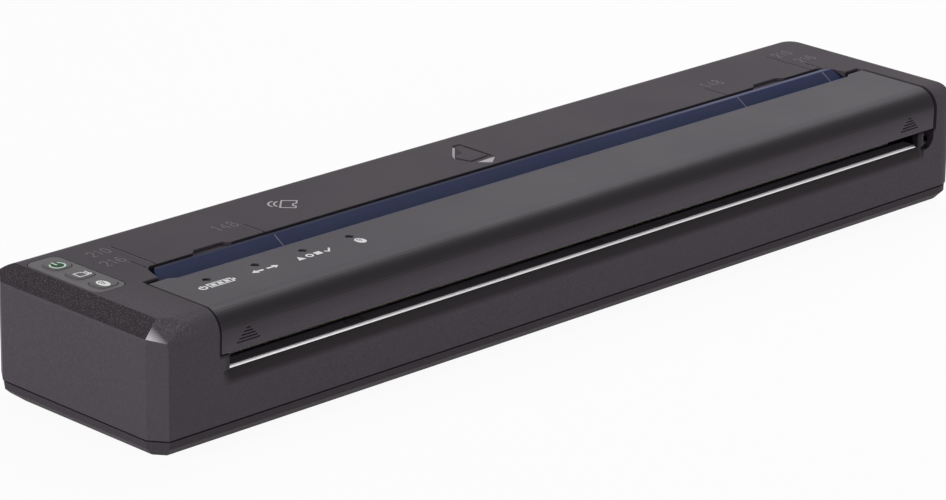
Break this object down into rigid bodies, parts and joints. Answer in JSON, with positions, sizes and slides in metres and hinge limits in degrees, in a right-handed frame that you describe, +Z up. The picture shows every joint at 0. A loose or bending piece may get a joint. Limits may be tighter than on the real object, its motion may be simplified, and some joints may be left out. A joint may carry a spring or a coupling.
{
  "type": "a4 portable thermal printer",
  "caption": "Slim bar-shaped portable thermal printer with a hinged release cover, a geared rubber platen roller, a sprung print head, push buttons and a charging socket.",
  "frame": {"origin": "centre of the footprint, on the surface that the rubber feet stand on", "axes": "+X along the bar, towards the end away from the buttons; -Y the side where the paper comes out; +Z up"},
  "size_m": [0.255, 0.055, 0.0303],
  "materials": {
    "housing_grey": "fine sparkle grain, satin",
    "cover_grey": "satin with a slight sheen",
    "panel_grey": "satin",
    "key_grey": "satin",
    "base_dark": "fine grain",
    "strip_blue": "satin with a soft highlight",
    "inner_black": "matt",
    "gear_white": "moulded acetal",
    "lens_clear": "clear light pipe",
    "steel_bright": "bright rolled",
    "steel_plate": "zinc plated",
    "pinion_brass": "turned",
    "sink_aluminium": "extruded",
    "head_ceramic": "glazed",
    "roller_rubber": "ground rubber",
    "feet_rubber": "matt",
    "board_green": "solder mask",
    "socket_ivory": "moulded",
    "switch_black": "moulded",
    "battery_sleeve": "shrunk sleeve"
  },
  "bodies": {
    "printer_body": {"base_case": "base_dark", "main_housing": "housing_grey", "button_panel": "panel_grey", "button_board": "board_green", "tact_switches": "switch_black", "hinge_pins": "steel_bright", "drive_motor": "steel_plate", "gear_posts": "steel_bright", "left_frame": "steel_plate", "right_frame": "steel_plate", "head_pivot_pins": "steel_bright", "head_springs": "steel_bright", "tear_bar": "steel_bright", "exit_guide": "inner_black", "feed_guide": "inner_black", "paper_sensor": "switch_black", "battery_pack": "battery_sleeve", "main_board": "board_green", "board_connectors": "socket_ivory", "usb_port": "steel_plate", "rubber_feet": "feet_rubber", "case_screws": "steel_plate", "motor_screws": "steel_plate"},
    "cover": {"release_cover": "cover_grey", "paper_guide_strip": "strip_blue", "cover_inner_guide": "inner_black", "led_lenses": "lens_clear", "led_board": "board_green", "platen_bushes": "inner_black"},
    "platen": {"platen_rubber": "roller_rubber", "platen_shaft": "steel_bright", "platen_gear": "gear_white"},
    "idler": {"idler_gear": "gear_white"},
    "reduction": {"reduction_gear": "gear_white"},
    "motor_rotor": {"motor_pinion": "pinion_brass"},
    "head": {"heat_sink": "sink_aluminium", "print_head": "head_ceramic"},
    "power_key": {"power_button": "key_grey"},
    "feed_key": {"feed_button": "key_grey"},
    "wireless_key": {"wireless_button": "key_grey"}
  },
  "joints": [
    {"name": "cover_hinge", "type": "hinge", "parent": "printer_body", "child": "cover", "pos_m": [0, -0.007, 0.0268], "axis": [-1, 0, 0], "range_deg": [0, 70]},
    {"name": "platen_spin", "type": "hinge", "parent": "cover", "child": "platen", "pos_m": [0, -0.014, 0.0205], "axis": [1, 0, 0], "continuous": true},
    {"name": "idler_spin", "type": "hinge", "parent": "printer_body", "child": "idler", "pos_m": [0, -0.00597, 0.01158], "axis": [1, 0, 0], "continuous": true},
    {"name": "reduction_spin", "type": "hinge", "parent": "printer_body", "child": "reduction", "pos_m": [0, 0.00402, 0.01198], "axis": [1, 0, 0], "continuous": true},
    {"name": "motor_spin", "type": "hinge", "parent": "printer_body", "child": "motor_rotor", "pos_m": [0, 0.01429, 0.01417], "axis": [1, 0, 0], "continuous": true},
    {"name": "head_tilt", "type": "hinge", "parent": "printer_body", "child": "head", "pos_m": [0, -0.00348, 0.00937], "axis": [1, 0, 0], "range_deg": [0, 1.5], "stiffness_Nm_per_rad": 0.4, "springref_deg": -2.86, "deforming": ["head_springs"]},
    {"name": "power_press", "type": "slide", "parent": "printer_body", "child": "power_key", "axis": [0, 0, -1], "range_m": [0, 0.0003], "stiffness_N_per_m": 200, "springref_m": -0.0005},
    {"name": "feed_press", "type": "slide", "parent": "printer_body", "child": "feed_key", "axis": [0, 0, -1], "range_m": [0, 0.0003], "stiffness_N_per_m": 200, "springref_m": -0.0005},
    {"name": "wireless_press", "type": "slide", "parent": "printer_body", "child": "wireless_key", "axis": [0, 0, -1], "range_m": [0, 0.0003], "stiffness_N_per_m": 200, "springref_m": -0.0005}
  ],
  "couplings": [
    {"joint": "idler_spin", "follows": "platen_spin", "ratio": -1},
    {"joint": "reduction_spin", "follows": "platen_spin", "ratio": 1.5},
    {"joint": "motor_spin", "follows": "platen_spin", "ratio": -3.75}
  ]
}
